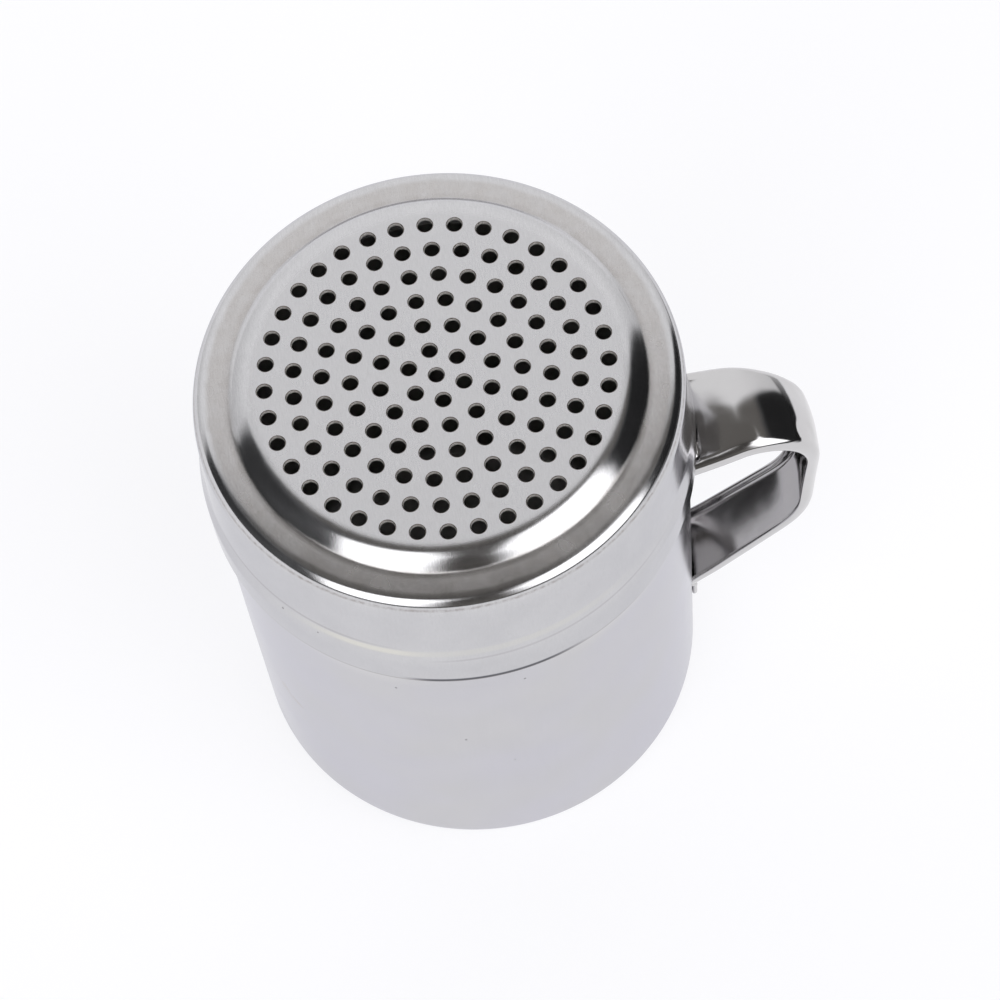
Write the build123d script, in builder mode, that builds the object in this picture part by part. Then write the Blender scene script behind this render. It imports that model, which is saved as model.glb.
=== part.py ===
from build123d import *
import math
import os

# Stainless steel shaker (dredge) with a perforated lift-off lid and a strap
# handle.  Millimetres.  The origin is the centre of the underside of the
# canister, +Z is up and the handle stands out along +X.

os.makedirs("parts", exist_ok=True)

# ---------------------------------------------------------------- dimensions
TOTAL_H = 90.0          # floor to the flat of the lid

# canister: deep drawn cup
BODY_R = 34.1           # outer radius
BODY_T = 0.6            # sheet
BODY_H = 73.0           # floor to the cut edge of the mouth
BODY_FOOT_R = 3.0       # outer radius of the foot corner

# lid: drawn cap
LID_T = 0.6             # sheet
PANEL_R = 25.0          # flat perforated panel, up to the start of its shoulder
SHOULDER_R = 5.1        # radius of the rounded shoulder round the panel
RING_A = (4.2, 11.0)    # slope of the rim ring where it is flattest, and at its outer edge
RING_FLAT_R = 30.45     # radius where it is flattest: dished inside, crowned outside
RING_DISH_R = 20.0      # radius of the dished part
CORNER_A = 55.3         # slope where the tight corner runs into the wide one
CORNER_R1 = 1.7         # tight corner, next to the ring
CORNER_R2 = 3.1         # wide corner, next to the skirt
CORNER_C2 = (30.8, 85.52)   # centre of the wide corner
SKIRT_MID_R = 34.42     # skirt, where the swaged band begins
SKIRT_MID_Z = 75.3
BAND_R = 35.05          # swaged band that slips over the canister
BAND_Z = 71.7
LID_EDGE_Z = 65.7       # cut edge of the lid

# perforation: one hole in the middle and six rings of 6, 12 ... 36
HOLE_D = 2.1            # straight part
HOLE_ROLL = 0.13        # radius of the edge that the punch rolls over
HOLE_PITCH = 3.92
HOLE_RINGS = 6
HOLE_START = 35.0       # angle of the row of holes that all rings share

# handle: strap pressed into a shallow channel, open towards the fingers
STRAP_T = 0.8
STRAP_DEPTH = 2.3       # height of the turned-in sides, sheet included
STRAP_EDGE_R = 1.5      # outer radius along both sides
STRAP_CROWN = 0.30      # rise of the middle over the sides
STRAP_HALF = {"top": 7.6, "mid": 5.4, "low": 6.2}    # half widths
STRAP_ROLL = {0.0: 3.0, 0.12: 6.0, 0.25: 3.0}        # set of the top arm, its -Y side lower
ARM_TOP = (33.0, 63.15)     # outer face of the strap, side view, x and z
BEND_TOP = (53.9, 66.4)
BEND_LOW = (52.6, 34.6)
ARM_LOW = (33.0, 14.37)
BEND_TOP_R = 11.4
BEND_LOW_R = 13.7

# welding tabs, both turned down and lying on the canister wall
TAB_TOP = (5.6, 56.4, 62.6)     # half width, lower and upper end
TAB_LOW = (4.9, 11.3, 15.9)
TAB_CORNER_R = 2.0
BEND_R = 1.25           # outer radius where the web turns into the top tab
BEND_LOW_TAB_R = 3.0    # hollow radius under the web where it turns into the lower tab
WELD_D = 3.0
WELD_TOP = (3.1, 59.3)  # distance from the middle plane, height
WELD_LOW = (2.6, 13.3)
WELD_BITE = 0.3         # depth of the nugget in the canister wall
WELD_DENT = 0.08        # electrode mark in the tab

# ------------------------------------------------------------- weld nuggets
with BuildPart() as upper_spot_welds:
    with BuildSketch(Plane.YZ.offset(BODY_R - 3.0)):
        with Locations((-WELD_TOP[0], WELD_TOP[1]), (WELD_TOP[0], WELD_TOP[1])):
            Circle(WELD_D / 2)
    extrude(amount=6.0)
    with BuildSketch(Plane.XY):
        Circle(BODY_R + STRAP_T - WELD_DENT)
        Circle(BODY_R - WELD_BITE, mode=Mode.SUBTRACT)
    extrude(amount=TOTAL_H, mode=Mode.INTERSECT)
upper_spot_welds.part.label = "upper_spot_welds"

with BuildPart() as lower_spot_welds:
    with BuildSketch(Plane.YZ.offset(BODY_R - 3.0)):
        with Locations((-WELD_LOW[0], WELD_LOW[1]), (WELD_LOW[0], WELD_LOW[1])):
            Circle(WELD_D / 2)
    extrude(amount=6.0)
    with BuildSketch(Plane.XY):
        Circle(BODY_R + STRAP_T - WELD_DENT)
        Circle(BODY_R - WELD_BITE, mode=Mode.SUBTRACT)
    extrude(amount=TOTAL_H, mode=Mode.INTERSECT)
lower_spot_welds.part.label = "lower_spot_welds"

# ------------------------------------------------------------------ canister
with BuildPart() as canister_body:
    with BuildSketch(Plane.XZ) as cup_section:
        with BuildLine():
            f = BODY_FOOT_R
            fi = BODY_FOOT_R - BODY_T
            Line((0, 0), (BODY_R - f, 0))
            CenterArc((BODY_R - f, f), f, -90, 90)
            Line((BODY_R, f), (BODY_R, BODY_H))
            Line((BODY_R, BODY_H), (BODY_R - BODY_T, BODY_H))
            Line((BODY_R - BODY_T, BODY_H), (BODY_R - BODY_T, f))
            CenterArc((BODY_R - f, f), fi, 0, -90)
            Line((BODY_R - f, BODY_T), (0, BODY_T))
            Line((0, BODY_T), (0, 0))
        make_face()
    revolve(axis=Axis.Z)
    # the cut edge of the mouth is deburred on both sides
    fillet(canister_body.edges().filter_by(GeomType.CIRCLE).group_by(Axis.Z)[-1], 0.22)
    # pockets that the weld nuggets fill
    add(upper_spot_welds.part, mode=Mode.SUBTRACT)
    add(lower_spot_welds.part, mode=Mode.SUBTRACT)
canister_body.part.label = "canister_body"

# ----------------------------------------------------------------------- lid
def polar(c, r, slope):
    """Point on a circle where the sheet's slope is the given angle."""
    a = math.radians(slope)
    return (c[0] + r * math.sin(a), c[1] + r * math.cos(a))


def meet(c0, r0, c1, r1):
    """Upper right crossing of two circles."""
    d = math.dist(c0, c1)
    k = (r0 * r0 - r1 * r1 + d * d) / (2 * d)
    h = math.sqrt(r0 * r0 - k * k)
    ux, uy = (c1[0] - c0[0]) / d, (c1[1] - c0[1]) / d
    pts = [(c0[0] + k * ux - s * h * uy, c0[1] + k * uy + s * h * ux) for s in (1, -1)]
    return max(pts, key=lambda q: q[0])


def slope_of(c, p):
    return math.degrees(math.atan2(p[0] - c[0], p[1] - c[1]))


sh_c = (PANEL_R, TOTAL_H - SHOULDER_R)                      # centre of the shoulder
co_p = polar(CORNER_C2, CORNER_R2, CORNER_A)                # tight to wide corner
co_c = polar(co_p, -CORNER_R1, CORNER_A)                    # centre, tight corner
ring_p = polar(co_c, CORNER_R1, RING_A[1])                  # ring to tight corner
ring_r = (ring_p[0] - RING_FLAT_R) / (math.sin(math.radians(RING_A[1]))
                                      - math.sin(math.radians(RING_A[0])))
ring_c = polar(ring_p, -ring_r, RING_A[1])                  # centre of the crown, below
flat_p = polar(ring_c, ring_r, RING_A[0])
dish_c = polar(flat_p, RING_DISH_R, RING_A[0])              # centre of the dish, above
sh_p = meet(sh_c, SHOULDER_R, dish_c, RING_DISH_R)          # crease, outside
shi_p = meet(sh_c, SHOULDER_R - LID_T, dish_c, RING_DISH_R + LID_T)
flare = math.degrees(math.atan2(CORNER_C2[1] - SKIRT_MID_Z,
                                SKIRT_MID_R - CORNER_C2[0] - CORNER_R2))
sk_p = polar(CORNER_C2, CORNER_R2, flare)                   # top of the skirt
ski_p = polar(CORNER_C2, CORNER_R2 - LID_T, flare)

with BuildPart() as perforated_lid:
    with BuildSketch(Plane.XZ) as cap_section:
        with BuildLine():
            # outside, from the axis to the cut edge
            Line((0, TOTAL_H), (PANEL_R, TOTAL_H))
            a0 = slope_of(sh_c, sh_p)
            ThreePointArc((PANEL_R, TOTAL_H), polar(sh_c, SHOULDER_R, a0 / 2), sh_p)
            a0 = (slope_of(dish_c, sh_p) + 180.0 + RING_A[0]) / 2
            ThreePointArc(sh_p, polar(dish_c, -RING_DISH_R, a0), flat_p)
            a1 = (RING_A[0] + RING_A[1]) / 2
            ThreePointArc(flat_p, polar(ring_c, ring_r, a1), ring_p)
            ThreePointArc(ring_p, polar(co_c, CORNER_R1, (RING_A[1] + CORNER_A) / 2), co_p)
            ThreePointArc(co_p, polar(CORNER_C2, CORNER_R2, (CORNER_A + flare) / 2), sk_p)
            Line(sk_p, (SKIRT_MID_R, SKIRT_MID_Z))
            Line((SKIRT_MID_R, SKIRT_MID_Z), (BAND_R, BAND_Z))
            Line((BAND_R, BAND_Z), (BAND_R, LID_EDGE_Z))
            # cut edge and inside, back to the axis
            Line((BAND_R, LID_EDGE_Z), (BAND_R - LID_T, LID_EDGE_Z))
            Line((BAND_R - LID_T, LID_EDGE_Z), (BAND_R - LID_T, BAND_Z))
            Line((BAND_R - LID_T, BAND_Z), (SKIRT_MID_R - LID_T, SKIRT_MID_Z))
            Line((SKIRT_MID_R - LID_T, SKIRT_MID_Z), ski_p)
            coi_p = polar(CORNER_C2, CORNER_R2 - LID_T, CORNER_A)
            ringi_p = polar(co_c, CORNER_R1 - LID_T, RING_A[1])
            ThreePointArc(ski_p, polar(CORNER_C2, CORNER_R2 - LID_T, (CORNER_A + flare) / 2),
                          coi_p)
            ThreePointArc(coi_p, polar(co_c, CORNER_R1 - LID_T, (RING_A[1] + CORNER_A) / 2),
                          ringi_p)
            flati_p = polar(ring_c, ring_r - LID_T, RING_A[0])
            ThreePointArc(ringi_p, polar(ring_c, ring_r - LID_T, a1), flati_p)
            a0 = (slope_of(dish_c, shi_p) + 180.0 + RING_A[0]) / 2
            ThreePointArc(flati_p, polar(dish_c, -RING_DISH_R - LID_T, a0), shi_p)
            a0 = slope_of(sh_c, shi_p)
            ThreePointArc(shi_p, polar(sh_c, SHOULDER_R - LID_T, a0 / 2),
                          (PANEL_R, TOTAL_H - LID_T))
            Line((PANEL_R, TOTAL_H - LID_T), (0, TOTAL_H - LID_T))
            Line((0, TOTAL_H - LID_T), (0, TOTAL_H))
        make_face()
        # the crease is the radius of the press tool
        fillet([v for v in cap_section.vertices()
                if abs(v.X - sh_p[0]) < 0.001 and abs(v.Y - sh_p[1]) < 0.001], 0.35)
        fillet([v for v in cap_section.vertices()
                if abs(v.X - shi_p[0]) < 0.001 and abs(v.Y - shi_p[1]) < 0.001], 0.7)
        # soft swage above and below the band
        swage = [v for v in cap_section.vertices()
                 if abs(v.Y - SKIRT_MID_Z) < 0.01 or abs(v.Y - BAND_Z) < 0.01]
        fillet(swage, 4.0)
        edge = [v for v in cap_section.vertices() if abs(v.Y - LID_EDGE_Z) < 0.01]
        fillet(edge, 0.2)
    revolve(axis=Axis.Z)
    # perforation
    with BuildSketch(Plane.XY.offset(TOTAL_H + 1.0)):
        Circle(HOLE_D / 2)
        for ring in range(1, HOLE_RINGS + 1):
            with PolarLocations(ring * HOLE_PITCH, 6 * ring, start_angle=HOLE_START):
                Circle(HOLE_D / 2)
    extrude(amount=-3.0, mode=Mode.SUBTRACT)
    # the punch rolls the upper edge of each hole over
    fillet([e for e in perforated_lid.edges().filter_by(GeomType.CIRCLE)
            if abs(e.center().Z - TOTAL_H) < 0.001 and abs(e.radius - HOLE_D / 2) < 0.01],
           HOLE_ROLL)
perforated_lid.part.label = "perforated_lid"

# -------------------------------------------------------------------- handle
with BuildLine(Plane.XZ) as strap_line:
    FilletPolyline(ARM_TOP, BEND_TOP, BEND_LOW, ARM_LOW,
                   radius=[BEND_TOP_R, BEND_LOW_R])
strap_path = strap_line.wire()


def strap_station(t):
    """Plane across the strap: local x is close to +Y, rolled where the strap is."""
    o = strap_path @ t
    tan = strap_path % t
    a = math.radians(STRAP_ROLL.get(t, 0.0))
    out_x, out_z = -tan.Z, tan.X            # out of the loop, square to the path
    return Plane(origin=o, x_dir=(out_x * math.sin(a), math.cos(a), out_z * math.sin(a)),
                 z_dir=(tan.X, tan.Y, tan.Z))


def strap_half(t):
    """Half width along the strap: waisted in the grip, wider at both ends."""
    a, m, b = STRAP_HALF["top"], STRAP_HALF["mid"], STRAP_HALF["low"]
    if t < 0.5:
        k = t / 0.5
        return a + (m - a) * (3 * k * k - 2 * k ** 3)
    k = (t - 0.5) / 0.5
    return m + (b - m) * (3 * k * k - 2 * k ** 3)


# tabs: pieces of a ring that lies on the canister, cut to a rounded outline
with BuildPart() as tabs:
    with BuildSketch(Plane.XY.offset(TAB_LOW[1])):
        Circle(BODY_R + STRAP_T)
        Circle(BODY_R, mode=Mode.SUBTRACT)
    extrude(amount=TAB_TOP[2] - TAB_LOW[1])
    with BuildSketch(Plane.YZ) as tab_outline:
        with Locations((0, (TAB_TOP[1] + TAB_TOP[2]) / 2)):
            Rectangle(2 * TAB_TOP[0], TAB_TOP[2] - TAB_TOP[1])
        with Locations((0, (TAB_LOW[1] + TAB_LOW[2]) / 2)):
            Rectangle(2 * TAB_LOW[0], TAB_LOW[2] - TAB_LOW[1])
        fillet([v for v in tab_outline.vertices()
                if abs(v.Y - TAB_TOP[1]) < 0.01 or abs(v.Y - TAB_LOW[1]) < 0.01],
               TAB_CORNER_R)
    extrude(amount=BODY_R + 5.0, mode=Mode.INTERSECT)

# hollow under the web where it turns down into the lower tab
low_k = (BEND_LOW[1] - ARM_LOW[1]) / (BEND_LOW[0] - ARM_LOW[0])     # rise of the web
low_a = math.atan(low_k)
low_x = BODY_R + STRAP_T                                # outer face of the tab
low_z = ARM_LOW[1] + low_k * (low_x - ARM_LOW[0])       # where it meets the web's face
low_t = BEND_LOW_TAB_R * math.tan((math.pi / 2 - low_a) / 2)
low_c = (low_x + BEND_LOW_TAB_R, low_z - low_t)
low_e = (low_x + low_t * math.cos(low_a), low_z + low_t * math.sin(low_a))
low_m = math.pi - (math.pi / 2 - low_a) / 2
with BuildPart() as low_fill:
    with BuildSketch(Plane.XZ):
        with BuildLine():
            Line((low_x, low_z - low_t), (low_x - 0.4, low_z - low_t))
            Line((low_x - 0.4, low_z - low_t), (low_x - 0.4, low_e[1] + 0.3))
            Line((low_x - 0.4, low_e[1] + 0.3), (low_e[0], low_e[1] + 0.3))
            Line((low_e[0], low_e[1] + 0.3), low_e)
            ThreePointArc(low_e, (low_c[0] + BEND_LOW_TAB_R * math.cos(low_m),
                                  low_c[1] + BEND_LOW_TAB_R * math.sin(low_m)),
                          (low_x, low_z - low_t))
        make_face()
    revolve(axis=Axis.Z)
    with BuildSketch(Plane.YZ):
        with Locations((0, low_z)):
            Rectangle(2 * TAB_LOW[0] - 1.0, 8)
    extrude(amount=BODY_R + 8.0, mode=Mode.INTERSECT)

# bend between the web and the top tab: what is added inside and cut outside
bend_z = ARM_TOP[1] + (BEND_TOP[1] - ARM_TOP[1]) * (BODY_R + BEND_R - ARM_TOP[0]) \
    / (BEND_TOP[0] - ARM_TOP[0])                       # web's outer face there
bend_c = (BODY_R + BEND_R, bend_z - BEND_R)
bend_i = BEND_R - STRAP_T
with BuildPart() as bend_fill:
    with BuildSketch(Plane.XZ):
        with BuildLine():
            Line((bend_c[0] - bend_i, bend_c[1]), (bend_c[0] - bend_i - 0.3, bend_c[1]))
            Line((bend_c[0] - bend_i - 0.3, bend_c[1]),
                 (bend_c[0] - bend_i - 0.3, bend_c[1] + bend_i + 0.1))
            Line((bend_c[0] - bend_i - 0.3, bend_c[1] + bend_i + 0.1),
                 (bend_c[0], bend_c[1] + bend_i + 0.1))
            Line((bend_c[0], bend_c[1] + bend_i + 0.1), (bend_c[0], bend_c[1] + bend_i))
            CenterArc(bend_c, bend_i, 90, 90)
        make_face()
    revolve(axis=Axis.Z)
    with BuildSketch(Plane.YZ):
        with Locations((0, bend_c[1])):
            Rectangle(2 * TAB_TOP[0], 8)
    extrude(amount=BODY_R + 8.0, mode=Mode.INTERSECT)

with BuildPart() as bend_cut:
    with BuildSketch(Plane.XZ):
        with BuildLine():
            Line((bend_c[0] - BEND_R, bend_c[1]), (bend_c[0] - BEND_R - 0.5, bend_c[1]))
            Line((bend_c[0] - BEND_R - 0.5, bend_c[1]),
                 (bend_c[0] - BEND_R - 0.5, bend_c[1] + BEND_R + 1.5))
            Line((bend_c[0] - BEND_R - 0.5, bend_c[1] + BEND_R + 1.5),
                 (bend_c[0], bend_c[1] + BEND_R + 1.5))
            Line((bend_c[0], bend_c[1] + BEND_R + 1.5), (bend_c[0], bend_c[1] + BEND_R))
            CenterArc(bend_c, BEND_R, 90, 90)
        make_face()
    revolve(axis=Axis.Z)
    with BuildSketch(Plane.YZ):
        with Locations((0, bend_c[1])):
            Rectangle(2 * (STRAP_HALF["top"] - STRAP_EDGE_R + 0.2), 8)
    extrude(amount=BODY_R + 8.0, mode=Mode.INTERSECT)

SIDE = 1 if strap_station(0.0).y_dir.Z > 0 else -1     # local y that points out
STATIONS = [0.0, 0.12, 0.25, 0.38, 0.5, 0.62, 0.75, 0.88, 1.0]

with BuildPart() as handle_strap:
    # section of the pressed channel at each station, outer face at local y = 0
    for st in STATIONS:
        w = strap_half(st)
        s = SIDE
        t, dp, r, c = STRAP_T, STRAP_DEPTH, STRAP_EDGE_R, STRAP_CROWN
        ri, e = r - t, t / 2
        k, ki = r * math.sqrt(0.5), (r - t) * math.sqrt(0.5)
        with BuildSketch(strap_station(st)):
            with BuildLine():
                ThreePointArc((-(w - r), -s * c), (0, 0), (w - r, -s * c))
                ThreePointArc((w - r, -s * c), (w - r + k, -s * (c + r - k)),
                              (w, -s * (c + r)))
                Line((w, -s * (c + r)), (w, -s * (dp - e)))
                ThreePointArc((w, -s * (dp - e)), (w - e, -s * dp),
                              (w - t, -s * (dp - e)))
                Line((w - t, -s * (dp - e)), (w - t, -s * (c + r)))
                ThreePointArc((w - t, -s * (c + r)), (w - r + ki, -s * (c + r - ki)),
                              (w - r, -s * (c + t)))
                ThreePointArc((w - r, -s * (c + t)), (0, -s * t),
                              (-(w - r), -s * (c + t)))
                ThreePointArc((-(w - r), -s * (c + t)),
                              (-(w - r + ki), -s * (c + r - ki)),
                              (-(w - t), -s * (c + r)))
                Line((-(w - t), -s * (c + r)), (-(w - t), -s * (dp - e)))
                ThreePointArc((-(w - t), -s * (dp - e)), (-(w - e), -s * dp),
                              (-w, -s * (dp - e)))
                Line((-w, -s * (dp - e)), (-w, -s * (c + r)))
                ThreePointArc((-w, -s * (c + r)), (-(w - r + k), -s * (c + r - k)),
                              (-(w - r), -s * c))
            make_face()
    sweep(path=strap_path, multisection=True)
    # tabs and the bends that lead into them
    add(tabs.part)
    add(bend_fill.part)
    add(low_fill.part)
    add(bend_cut.part, mode=Mode.SUBTRACT)
    # ends trimmed to the canister wall
    with BuildSketch(Plane.XY):
        Circle(BODY_R)
    extrude(amount=TOTAL_H, mode=Mode.SUBTRACT)
    # holes in the tabs that the weld nuggets fill
    with BuildSketch(Plane.YZ.offset(BODY_R - 5.0)):
        with Locations((-WELD_TOP[0], WELD_TOP[1]), (WELD_TOP[0], WELD_TOP[1]),
                       (-WELD_LOW[0], WELD_LOW[1]), (WELD_LOW[0], WELD_LOW[1])):
            Circle(WELD_D / 2)
    extrude(amount=5.0 + STRAP_T + 0.6, mode=Mode.SUBTRACT)
handle_strap.part.label = "handle_strap"

# -------------------------------------------------------------------- export
for piece in (canister_body, perforated_lid, handle_strap,
              upper_spot_welds, lower_spot_welds):
    export_step(piece.part, "parts/" + piece.part.label + ".step")
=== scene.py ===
"""Stainless steel shaker with a perforated lid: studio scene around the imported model."""
import math

import bpy
import numpy as np
from mathutils.geometry import delaunay_2d_cdt
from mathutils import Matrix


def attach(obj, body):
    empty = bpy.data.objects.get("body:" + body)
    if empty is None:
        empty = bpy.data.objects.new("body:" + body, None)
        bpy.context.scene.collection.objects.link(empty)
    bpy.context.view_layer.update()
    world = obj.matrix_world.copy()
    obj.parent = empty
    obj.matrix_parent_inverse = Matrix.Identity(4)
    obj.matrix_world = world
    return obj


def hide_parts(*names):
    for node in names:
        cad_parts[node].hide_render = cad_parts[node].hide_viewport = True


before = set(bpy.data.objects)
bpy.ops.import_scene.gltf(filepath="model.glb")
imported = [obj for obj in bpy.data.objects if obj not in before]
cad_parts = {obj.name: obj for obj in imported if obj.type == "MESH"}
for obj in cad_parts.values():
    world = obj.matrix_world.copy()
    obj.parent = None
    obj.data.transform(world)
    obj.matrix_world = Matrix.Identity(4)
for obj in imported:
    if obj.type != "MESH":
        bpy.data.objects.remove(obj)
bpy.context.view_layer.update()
scene = bpy.context.scene
scene.view_settings.view_transform = "Standard"
scene.view_settings.look = "None"
scene.view_settings.exposure = 0.0
scene.view_settings.gamma = 1.0

# ------------------------------------------------------------------- camera
cam_data = bpy.data.cameras.new("photo_camera")
cam_data.lens = 119.929
cam_data.sensor_width = 36.0
cam_data.sensor_fit = "HORIZONTAL"
cam_data.clip_start = 0.01
cam_data.clip_end = 50.0
cam = bpy.data.objects.new("photo_camera", cam_data)
scene.collection.objects.link(cam)
cam.location = (-0.0016040586, -0.2107604417, 0.4905363978)
cam.rotation_euler = (0.4405555228, 0.0600685744, -0.1636248663)
scene.camera = cam


# ------------------------------------------------------------- node helpers
class Tree:
    """A node tree with short calls for the few kinds of node used here."""

    def __init__(self, tree):
        self.t = tree
        self.t.nodes.clear()

    def new(self, kind, **props):
        n = self.t.nodes.new(kind)
        for k, v in props.items():
            setattr(n, k, v)
        return n

    def put(self, socket, value):
        if isinstance(value, bpy.types.NodeSocket):
            self.t.links.new(value, socket)
        else:
            socket.default_value = value

    def math(self, op, a, b=0.0, c=0.0):
        n = self.new("ShaderNodeMath", operation=op)
        self.put(n.inputs[0], a)
        self.put(n.inputs[1], b)
        self.put(n.inputs[2], c)
        return n.outputs[0]

    def add(self, a, b):
        return self.math("ADD", a, b)

    def sub(self, a, b):
        return self.math("SUBTRACT", a, b)

    def mul(self, a, b):
        return self.math("MULTIPLY", a, b)

    def step(self, v, lo, hi):
        """0 below lo, 1 above hi, smooth between; falls if lo is above hi."""
        n = self.new("ShaderNodeMapRange", interpolation_type="SMOOTHSTEP")
        if lo <= hi:
            args = (v, lo, hi, 0.0, 1.0)
        else:
            args = (v, hi, lo, 1.0, 0.0)
        for i, a in enumerate(args):
            self.put(n.inputs[i], a)
        return n.outputs[0]

    def band(self, v, a, b, c, d):
        """0 outside a..d, 1 between b and c."""
        return self.mul(self.step(v, a, b), self.step(v, d, c))

    def lin(self, v, lo, hi, out_lo, out_hi):
        n = self.new("ShaderNodeMapRange", interpolation_type="LINEAR")
        for i, a in enumerate((v, lo, hi, out_lo, out_hi)):
            self.put(n.inputs[i], a)
        return n.outputs[0]

    def mix(self, k, a, b):
        """a where k is 0, b where k is 1, for numbers."""
        n = self.new("ShaderNodeMix", data_type="FLOAT")
        self.put(n.inputs[0], k)
        self.put(n.inputs[2], a)
        self.put(n.inputs[3], b)
        return n.outputs[0]

    def mixc(self, k, a, b, how="MIX"):
        """The same for colours."""
        n = self.new("ShaderNodeMix", data_type="RGBA", blend_type=how)
        self.put(n.inputs[0], k)
        self.put(n.inputs[6], a)
        self.put(n.inputs[7], b)
        return n.outputs[2]

    def split(self, v):
        n = self.new("ShaderNodeSeparateXYZ")
        self.put(n.inputs[0], v)
        return n.outputs[0], n.outputs[1], n.outputs[2]

    def join(self, x, y, z):
        n = self.new("ShaderNodeCombineXYZ")
        for i, a in enumerate((x, y, z)):
            self.put(n.inputs[i], a)
        return n.outputs[0]

    def noise(self, vector, scale, detail=2.0, rough=0.5, distortion=0.0):
        n = self.new("ShaderNodeTexNoise")
        self.put(n.inputs["Vector"], vector)
        n.inputs["Scale"].default_value = scale
        n.inputs["Detail"].default_value = detail
        n.inputs["Roughness"].default_value = rough
        n.inputs["Distortion"].default_value = distortion
        return n.outputs[0]

    def spot(self, x, y, z, theta, height, across, tall, radius):
        """A small mark on a wall of the given radius, all in millimetres and degrees."""
        a = math.radians(theta)
        dx = self.mul(self.sub(x, radius * math.cos(a) / 1000), 1000.0 / across)
        dy = self.mul(self.sub(y, radius * math.sin(a) / 1000), 1000.0 / across)
        dz = self.mul(self.sub(z, height / 1000), 1000.0 / tall)
        d = self.add(self.add(self.mul(dx, dx), self.mul(dy, dy)), self.mul(dz, dz))
        return self.step(d, 1.3, 0.5)

    def bump(self, height, distance, strength=1.0, normal=None):
        n = self.new("ShaderNodeBump")
        n.inputs["Strength"].default_value = strength
        n.inputs["Distance"].default_value = distance
        self.put(n.inputs["Height"], height)
        if normal is not None:
            self.put(n.inputs["Normal"], normal)
        return n.outputs[0]


def rgb(r, g, b):
    return (r, g, b, 1.0)


# -------------------------------------------------------------------- world
# A studio seen by direction: a large pale backdrop on the far side that leans
# over the set, two softboxes at the near side with a gap for the camera, dark
# room to the left and right, and a grey ceiling between backdrop and boxes.
world = bpy.data.worlds.new("studio")
scene.world = world
world.use_nodes = True
w = Tree(world.node_tree)
coord = w.new("ShaderNodeTexCoord")
x, y, z = w.split(coord.outputs["Generated"])
az = w.mul(w.math("ARCTAN2", y, x), 180.0 / math.pi)        # -180 .. 180
el = w.mul(w.math("ARCSINE", z), 180.0 / math.pi)

# the same direction as degrees away from the zenith, to the right and to the back
zen = w.mul(w.math("ARCCOSINE", z), 180.0 / math.pi)
flat = w.math("MAXIMUM", w.math("SQRT", w.add(w.mul(x, x), w.mul(y, y))), 1e-4)
X = w.mul(zen, w.math("DIVIDE", x, flat))
Y = w.mul(zen, w.math("DIVIDE", y, flat))

# dark room: ceiling overhead, camera gap in front, darker to both sides
front = w.mix(w.step(Y, -40.0, -66.0), 0.072, 0.12)
room = w.mix(w.step(Y, -8.0, 8.0), front, 0.150)
room = w.mix(w.step(X, -16.0, -37.0), room, w.mix(w.step(Y, -12.0, 12.0), 0.088, 0.047))
room = w.mix(w.step(X, 24.0, 38.0), room, 0.022)
# softboxes
low = w.step(el, 13.5, 21.0)
soft = w.add(2.4, w.mul(w.math("MAXIMUM", w.sub(zen, 30.0), 0.0), 0.10))
softer = w.add(3.2, w.mul(w.math("MAXIMUM", w.sub(zen, 32.0), 0.0), 0.24))


def inside(d, s):
    """1 where the distance d is above s, 0 where it is below -s."""
    return w.step(w.math("DIVIDE", d, s), -1.0, 1.0)


r_left = w.add(10.0, w.mul(w.math("MAXIMUM", w.sub(-34.0, Y), 0.0), 0.36))
r_left = w.add(r_left, w.mul(w.math("MAXIMUM", w.add(Y, 8.0), 0.0), 0.50))
r_top = w.mul(w.sub(X, 31.0), -0.68)
right = w.mul(inside(w.sub(X, r_left), softer), inside(w.sub(r_top, Y), soft))
l_right = w.sub(-5.5, w.mul(w.math("MAXIMUM", w.sub(-22.0, Y), 0.0), 0.33))
l_left = w.add(-22.5, w.mul(w.add(Y, 2.0), 0.85))
left = w.mul(inside(w.sub(l_right, X), softer), inside(w.sub(X, l_left), soft))
left = w.mul(left, w.step(Y, -2.5, -8.5))
boxes = w.mul(low, w.math("MAXIMUM", left, right))
room = w.mix(boxes, room, 2.2)
# backdrop
away = w.math("MINIMUM", w.math("MAXIMUM", w.mul(X, -1.0), 0.0), 33.0)
side = w.math("MAXIMUM", X, 0.0)
edge = w.add(14.0, w.add(w.mul(away, 0.36), w.mul(w.math("MINIMUM", side, 24.0), 0.36)))
edge = w.add(edge, w.mul(w.math("MAXIMUM", w.sub(side, 24.0), 0.0), 0.46))
drop = w.step(w.sub(Y, edge), -2.6, 2.6)
shade = w.mix(w.step(X, 12.0, 82.0), 1.0, 0.74)
shade = w.mix(w.step(X, -17.0, -77.0), shade, 0.72)
room = w.mix(drop, room, shade)
# white table carried up past the horizon, except at the dark right side
table = w.step(el, 6.4, 4.8)
dark = w.mul(w.band(az, -33.0, -2.0, 22.0, 52.0), w.step(el, 1.9, 5.1))
table = w.mul(table, w.sub(1.0, dark))
room = w.mix(table, room, 0.98)

ray = w.new("ShaderNodeLightPath")
# a shelf on the right that only the inside of the handle mirrors, off the canister
deep = w.step(ray.outputs["Ray Depth"], 2.3, 2.7)
shelf = w.mul(w.band(az, -18.0, -14.0, 60.0, 68.0), w.band(el, 2.8, 3.8, 17.0, 24.0))
room = w.mix(w.mul(deep, shelf), room, 0.045)

light = w.new("ShaderNodeBackground")
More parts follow.
